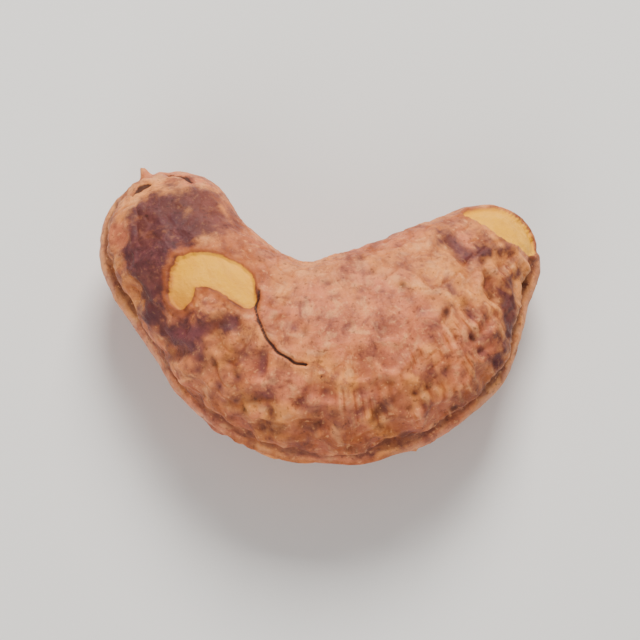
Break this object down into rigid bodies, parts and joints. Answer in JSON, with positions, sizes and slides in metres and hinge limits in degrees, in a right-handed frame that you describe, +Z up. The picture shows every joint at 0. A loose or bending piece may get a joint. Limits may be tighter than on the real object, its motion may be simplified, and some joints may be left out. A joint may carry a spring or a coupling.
{
  "type": "cashew nut",
  "caption": "Whole roasted cashew nut in its thin brown skin, lying on its side, with worn places that show the pale kernel.",
  "frame": {"origin": "under the middle of the nut's length and depth, on the surface that it lies on", "axes": "+X along the nut from the blunt lobe to the narrow one, +Y out of the hollow of the bend, +Z up from the surface"},
  "size_m": [0.026, 0.0178, 0.0106],
  "materials": {
    "roasted_skin": "satin"
  },
  "bodies": {
    "root": {"cashew_nut": "roasted_skin"}
  },
  "joints": []
}
